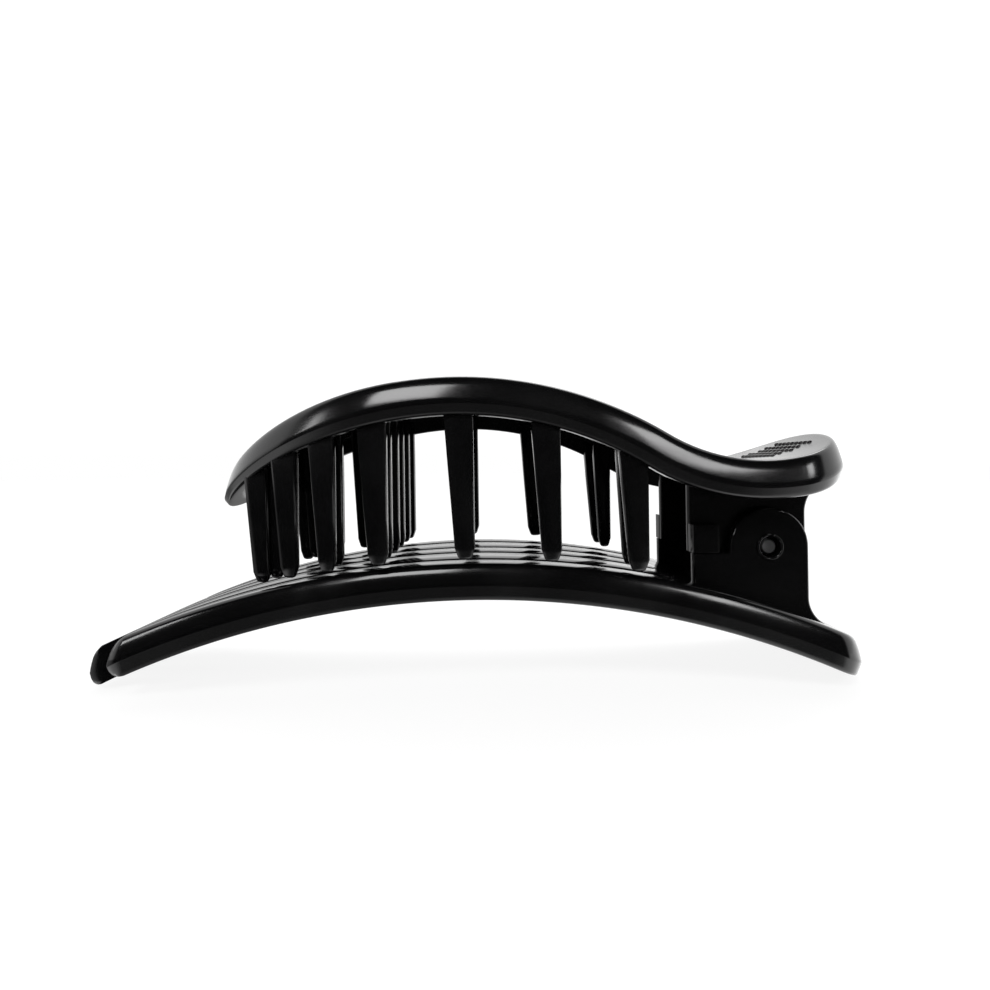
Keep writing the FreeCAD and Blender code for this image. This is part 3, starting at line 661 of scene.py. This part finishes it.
teeth = []
for side in (-1, 1):
    rim_y = upper_half - TOOTH_FACE_INSET - OUTER_TOOTH[2] / 2
    for index in range(ROW_TEETH):
        row_x = LAST_TOOTH_X - index * TOOTH_PITCH
        teeth.append(tooth(row_x, side * rim_y, OUTER_TOOTH, OUTER_ROOT_DEPTH))
    for ahead in NOSE_TEETH_AHEAD:
        # Each nose tooth turns a little way with the rim, and its front corner stays inside it.
        share = ahead / NOSE_ROUND
        front_reach = NOSE_TOOTH[0] - NOSE_TOOTH[1] / 2
        front_share = (ahead + front_reach) / NOSE_ROUND
        edge_y = upper_half * math.sqrt(1 - share ** 2)
        front_edge_y = upper_half * math.sqrt(1 - front_share ** 2)
        slope = math.atan2(upper_half * share, NOSE_ROUND * math.sqrt(1 - share ** 2))
        turn = NOSE_TOOTH_TURN * slope
        half_thick = NOSE_TOOTH[2] / 2
        under_rim = edge_y - (half_thick + TOOTH_FACE_INSET) * math.cos(slope)
        behind_rim = front_edge_y - RIM_COVER - half_thick * math.cos(turn) + front_reach * math.sin(turn)
        place_y = min(under_rim, behind_rim)
        nose_tooth_x = FRONT_TOOTH_X - ahead
        teeth.append(tooth(nose_tooth_x, side * place_y, NOSE_TOOTH, OUTER_ROOT_DEPTH, side * turn))
    for station, y in (
        (LAST_TOOTH_X, SLOT_OUTER_Y), (FRONT_TOOTH_X, SLOT_OUTER_Y), (FRONT_TOOTH_X, SLOT_INNER_Y),
        (FRONT_TOOTH_X - NOSE_TEETH_AHEAD[0], SLOT_OUTER_Y),
        (FRONT_TOOTH_X - NOSE_INNER_SHARE * NOSE_TEETH_AHEAD[2], SLOT_OUTER_Y),
    ):
        teeth.append(tooth(station, side * y, INNER_TOOTH, INNER_ROOT_DEPTH))

# Upper ears: they hang from the plate between the lower ears and turn on the pin. A tab on
# each rests on the lower ear's shoulder and stops the jaw when the clip is shut.
UPPER_EAR_ROUND = 0.007
EAR_TOP_X = (0.040, 0.044, 0.048, 0.052, 0.056)
RUNNING_FIT = 0.00005
STOP_GAP = 0.0001
TAB_LENGTH = 0.0042
TAB_HEIGHT = 0.0046
TAB_ROUND = 0.0001
REAR_FLARE = 0.0058
FLARE_ABOVE_PIN = 0.00525
FLARE_END = 120
tab_z = shoulder_z + STOP_GAP
ear_rear = PIN_X + UPPER_EAR_ROUND
under = PLATE_THICK / 2
flare_end_x = ear_rear + REAR_FLARE * (1 + math.cos(math.radians(FLARE_END)))
upper_ear_outline = (
    [(EAR_FRONT_X, tab_z), (EAR_FRONT_X, sweep(EAR_FRONT_X, under))]
    + [(x, sweep(x, under)) for x in EAR_TOP_X]
    + [(flare_end_x, sweep(flare_end_x, under))]
    + bend_points(ear_rear + REAR_FLARE, PIN_Z + FLARE_ABOVE_PIN, REAR_FLARE, FLARE_END, 180, count=14)
    + bend_points(PIN_X, PIN_Z, UPPER_EAR_ROUND, 0, -90, count=20)
    + [(EAR_FRONT_X + TAB_LENGTH, tab_z)]
)
tab_outline = [
    (EAR_FRONT_X, tab_z), (EAR_FRONT_X + TAB_LENGTH, tab_z),
    (EAR_FRONT_X + TAB_LENGTH, tab_z + TAB_HEIGHT), (EAR_FRONT_X, tab_z + TAB_HEIGHT),
]
upper_ears = []
for side in (-1, 1):
    upper_ears.append(plate("upper_ear", upper_ear_outline, PIN_RADIUS + RUNNING_FIT,
                            side * (UPPER_EAR_Y - EAR_THICK), side * UPPER_EAR_Y))
    upper_ears.append(plate("stop_tab", tab_outline, None, side * (UPPER_EAR_Y - EAR_THICK / 2),
                            side * ear_face, TAB_ROUND))

# Grip dots: staggered rows of small raised dots, moulded where the thumb presses the pad.
DOT_RADIUS = 0.0005
DOT_PITCH = 0.0016
DOT_ROWS = 5
DOT_COLUMNS = 9
DOT_START_X = 0.0515
DOT_SINK = 0.0001
DOT_HEIGHT_SHARE = 0.85
deselect()
bpy.ops.mesh.primitive_uv_sphere_add(segments=14, ring_count=8, radius=DOT_RADIUS)
pattern = bpy.context.object
edit(pattern)
bpy.ops.mesh.select_all(action="SELECT")
bpy.ops.transform.resize(value=(1, 1, DOT_HEIGHT_SHARE))
close()
bpy.ops.object.shade_smooth()
dots = []
for row in range(DOT_ROWS):
    for column in range(DOT_COLUMNS):
        x = DOT_START_X + row * DOT_PITCH
        y = (column - (DOT_COLUMNS - 1) / 2) * DOT_PITCH + (row % 2) * DOT_PITCH / 2 - DOT_PITCH / 4
        dot = pattern.copy()
        dot.data = pattern.data.copy()
        bpy.context.scene.collection.objects.link(dot)
        for corner in dot.data.vertices:
            corner.co += Vector((x, y, sweep(x, DOT_SINK)))
        dots.append(dot)
bpy.data.objects.remove(pattern)

upper_jaw = join([shell] + teeth + upper_ears + dots, "upper_jaw_moulding")
upper_jaw.data.materials.clear()
upper_jaw.data.materials.append(BLACK)
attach(upper_jaw, "upper")
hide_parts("upper_jaw")


# ---------------------------------------------------------------------------
# Hinge pin: plain turned steel with chamfered ends, pushed into all four ears until its
# ends lie below their faces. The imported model's own pin already has the right shape, so it
# only gets its finish.
# ---------------------------------------------------------------------------

PIN_BASE = (0.46, 0.46, 0.47)
PIN_HANDLED = (0.30, 0.30, 0.31)
PIN_STEEL = finish_material("pin_steel", PIN_BASE, PIN_HANDLED, metallic=1.0, roughness=0.34,
                            worn_roughness=0.5, ripple=0.5, smear_scale=400.0)
pin = bpy.data.objects["hinge_pin"]
for slot in pin.material_slots:
    slot.material = PIN_STEEL


# ---------------------------------------------------------------------------
# Torsion spring: round spring steel wire wound about the pin. One straight end presses up
# under the thumb pad and the other down on the tail; here it is one fixed mesh that does not bend.
# ---------------------------------------------------------------------------

WIRE_RADIUS = 0.0005
COIL_RADIUS = 0.0025
COIL_PITCH = 0.0012
FULL_TURNS = 6
LEG_UP = math.radians(50)
LEG_DOWN = math.radians(55)
LEG_GAP = 0.0002
# How far behind the pin's middle each leg comes to rest.
UPPER_REST = 0.0067
LOWER_REST = 0.0036
WIRE_SMOOTH = math.radians(60)
POINTS_A_TURN = 40
turned = FULL_TURNS * 2 * math.pi + math.pi - LEG_UP - LEG_DOWN
coil_half = COIL_PITCH * turned / (4 * math.pi)
first_turn = math.pi / 2 + LEG_UP
points = []
count = round(turned / (2 * math.pi) * POINTS_A_TURN)
for index in range(count + 1):
    share = index / count
    turn = first_turn + turned * share
    coil_x = PIN_X + COIL_RADIUS * math.cos(turn)
    coil_z = PIN_Z + COIL_RADIUS * math.sin(turn)
    points.append((coil_x, coil_half * (1 - 2 * share), coil_z))
first, last = points[0], points[-1]
leg_top = sweep(PIN_X + UPPER_REST, PLATE_THICK) - LEG_GAP - WIRE_RADIUS
leg_bottom = arch(PIN_X + LOWER_REST) + LEG_GAP + WIRE_RADIUS
up = (leg_top - first[2]) / math.sin(LEG_UP)
down = (last[2] - leg_bottom) / math.sin(LEG_DOWN)
points.insert(0, (first[0] + up * math.cos(LEG_UP), first[1], leg_top))
points.append((last[0] + down * math.cos(LEG_DOWN), last[1], leg_bottom))
wire = bpy.data.curves.new("torsion_spring_wire", "CURVE")
wire.dimensions = "3D"
wire.bevel_depth = WIRE_RADIUS
wire.bevel_resolution = 4
wire.use_fill_caps = True
line = wire.splines.new("POLY")
line.points.add(len(points) - 1)
for point, place in zip(line.points, points):
    point.co = (*place, 1)
spring = bpy.data.objects.new("torsion_spring_wire", wire)
bpy.context.scene.collection.objects.link(spring)
deselect()
spring.select_set(True)
bpy.context.view_layer.objects.active = spring
bpy.ops.object.convert(target="MESH")
spring = bpy.context.object
bpy.ops.object.shade_smooth_by_angle(angle=WIRE_SMOOTH)
WIRE_BASE = (0.42, 0.42, 0.43)
WIRE_HANDLED = (0.22, 0.21, 0.20)
WIRE_STEEL = finish_material("spring_steel", WIRE_BASE, WIRE_HANDLED, metallic=1.0, roughness=0.22,
                             worn_roughness=0.4, ripple=0.6, smear_scale=300.0)
spring.data.materials.clear()
spring.data.materials.append(WIRE_STEEL)
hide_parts("torsion_spring")
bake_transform(spring)


# ---------------------------------------------------------------------------
# Studio: a white sweep under and behind the clip, soft light from above and behind, and a
# dark camera side, which is what gives the black plastic its dark faces and white edges.
# ---------------------------------------------------------------------------

FLOOR_SIZE = 6.0
# What the floor throws back on the clip, and what is seen of it: its own glow plus the light
# that falls on it, which a shadow takes away.
FLOOR_GREY = 0.8
FLOOR_GLOW = 0.88
FLOOR_LIT = 0.24
deselect()
bpy.ops.mesh.primitive_plane_add(size=FLOOR_SIZE, location=(0, 0, 0))
floor = bpy.context.object
floor.name = "floor"
floor_white = bpy.data.materials.new("floor_white")
floor_white.use_nodes = True
tree = floor_white.node_tree
tree.nodes.clear()
output = tree.nodes.new("ShaderNodeOutputMaterial")
lit = tree.nodes.new("ShaderNodeBsdfDiffuse")
lit.inputs["Color"].default_value = (FLOOR_GREY, FLOOR_GREY, FLOOR_GREY, 1)
shadow_tint = tree.nodes.new("ShaderNodeBsdfDiffuse")
shadow_tint.inputs["Color"].default_value = (FLOOR_LIT, FLOOR_LIT, FLOOR_LIT, 1)
glow = tree.nodes.new("ShaderNodeEmission")
glow.inputs["Color"].default_value = (1, 1, 1, 1)
glow.inputs["Strength"].default_value = FLOOR_GLOW
seen = tree.nodes.new("ShaderNodeLightPath")
shadowed = tree.nodes.new("ShaderNodeAddShader")
tree.links.new(glow.outputs[0], shadowed.inputs[0])
tree.links.new(shadow_tint.outputs[0], shadowed.inputs[1])
views = tree.nodes.new("ShaderNodeMath")
views.operation = "MAXIMUM"
tree.links.new(seen.outputs["Is Camera Ray"], views.inputs[0])
tree.links.new(seen.outputs["Is Glossy Ray"], views.inputs[1])
choice = tree.nodes.new("ShaderNodeMixShader")
tree.links.new(views.outputs[0], choice.inputs["Fac"])
tree.links.new(lit.outputs[0], choice.inputs[1])
tree.links.new(shadowed.outputs[0], choice.inputs[2])
tree.links.new(choice.outputs[0], output.inputs["Surface"])
floor.data.materials.append(floor_white)
floor.visible_glossy = False

world = bpy.data.worlds.new("studio")
bpy.context.scene.world = world
world.use_nodes = True
tree = world.node_tree
tree.nodes.clear()
output = tree.nodes.new("ShaderNodeOutputWorld")
place = tree.nodes.new("ShaderNodeTexCoord")
axes = tree.nodes.new("ShaderNodeSeparateXYZ")
tree.links.new(place.outputs["Generated"], axes.inputs[0])


def maths(operation, *values):
    """A sum in the world's tree; plain numbers are set on its own sockets."""
    node = tree.nodes.new("ShaderNodeMath")
    node.operation = operation
    for socket, value in zip(node.inputs, values):
        if isinstance(value, float):
            socket.default_value = value
        else:
            tree.links.new(value, socket)
    return node.outputs[0]


def fade(value, old_range, new_range):
    """A smooth change from one brightness to another."""
    result = rescale(tree, value, old_range, new_range)
    result.node.interpolation_type = "SMOOTHSTEP"
    return result


# White behind and overhead, nearly black in front. The edge between them leans forward with
# height and bends with the way to the sides. Under the horizon the left is dimmer and the
# right is brighter.
WALL_LEAN = -0.4
WALL_BEND = 0.35
WALL_EDGE = (-0.25, -0.06)
WALL_SHADES = (0.02, 1.1)
HORIZON = (-0.04, 0.04)
LEFT_TO_RIGHT = (-0.15, 0.3)
SIDE_SHADES = (0.3, 1.4)
east, north, height = axes.outputs
lean = maths("MULTIPLY_ADD", height, WALL_LEAN, north)
cone = maths("MULTIPLY_ADD", maths("MULTIPLY", east, east), WALL_BEND, lean)
wall = fade(cone, WALL_EDGE, WALL_SHADES)
under_horizon = fade(height, HORIZON, (1.0, 0.0))
side_change = maths("SUBTRACT", fade(east, LEFT_TO_RIGHT, SIDE_SHADES), 1.0)
upper_shine = maths("MULTIPLY", wall, maths("MULTIPLY_ADD", under_horizon, side_change, 1.0))
# The white table shows in the drafted lower faces, brightest towards both ends.
TABLE_EDGE = (-0.6, -0.4)
TABLE_ENDS = (0.03, 0.4)
TABLE_SHADES = (0.12, 1.3)
far_down = fade(height, TABLE_EDGE, (1.0, 0.0))
table = maths("MULTIPLY", far_down, fade(maths("MULTIPLY", east, east), TABLE_ENDS, TABLE_SHADES))
shine = maths("MAXIMUM", upper_shine, table)
seen = tree.nodes.new("ShaderNodeLightPath")
brightness = maths("MAXIMUM", seen.outputs["Is Camera Ray"], shine)
sky = tree.nodes.new("ShaderNodeBackground")
sky.inputs["Color"].default_value = (1, 1, 1, 1)
tree.links.new(brightness, sky.inputs["Strength"])
tree.links.new(sky.outputs[0], output.inputs["Surface"])


CLIP_MIDDLE = Vector((0, 0, 0.03))


def soft_light(name, place, width, depth, power):
    """A rectangular soft light turned towards the middle of the clip."""
    lamp = bpy.data.lights.new(name, "AREA")
    lamp.shape = "RECTANGLE"
    lamp.size = width
    lamp.size_y = depth
    lamp.energy = power
    stand = bpy.data.objects.new(name, lamp)
    bpy.context.scene.collection.objects.link(stand)
    stand.location = place
    stand.rotation_euler = (CLIP_MIDDLE - Vector(place)).to_track_quat("-Z", "Y").to_euler()


soft_light("front_light", place=(-0.16, -0.54, 0.56), width=0.20, depth=0.20, power=1.3)
soft_light("right_light", place=(0.44, -0.52, 0.42), width=0.16, depth=0.16, power=0.8)
soft_light("left_light", place=(-0.60, -0.38, 0.38), width=0.08, depth=0.20, power=0.6)
soft_light("back_light", place=(0.1, 0.5, 0.6), width=0.6, depth=0.3, power=2.0)

# Camera: a close view from in front, looking level from a little above the hinge.
CAMERA_PLACE = (0.0031, -0.1185, 0.0361)
CAMERA_ROLL = math.radians(0.91)
camera_data = bpy.data.cameras.new("camera")
camera_data.lens = 23.64
camera_data.sensor_width = 36.0
camera_data.shift_x = 0.004
camera_data.shift_y = -0.030
camera_data.clip_start = 0.001
camera = bpy.data.objects.new("camera", camera_data)
bpy.context.scene.collection.objects.link(camera)
camera.location = CAMERA_PLACE
camera.rotation_euler = (math.pi / 2, CAMERA_ROLL, 0)
bpy.context.scene.camera = camera
bpy.context.scene.view_settings.view_transform = "Standard"
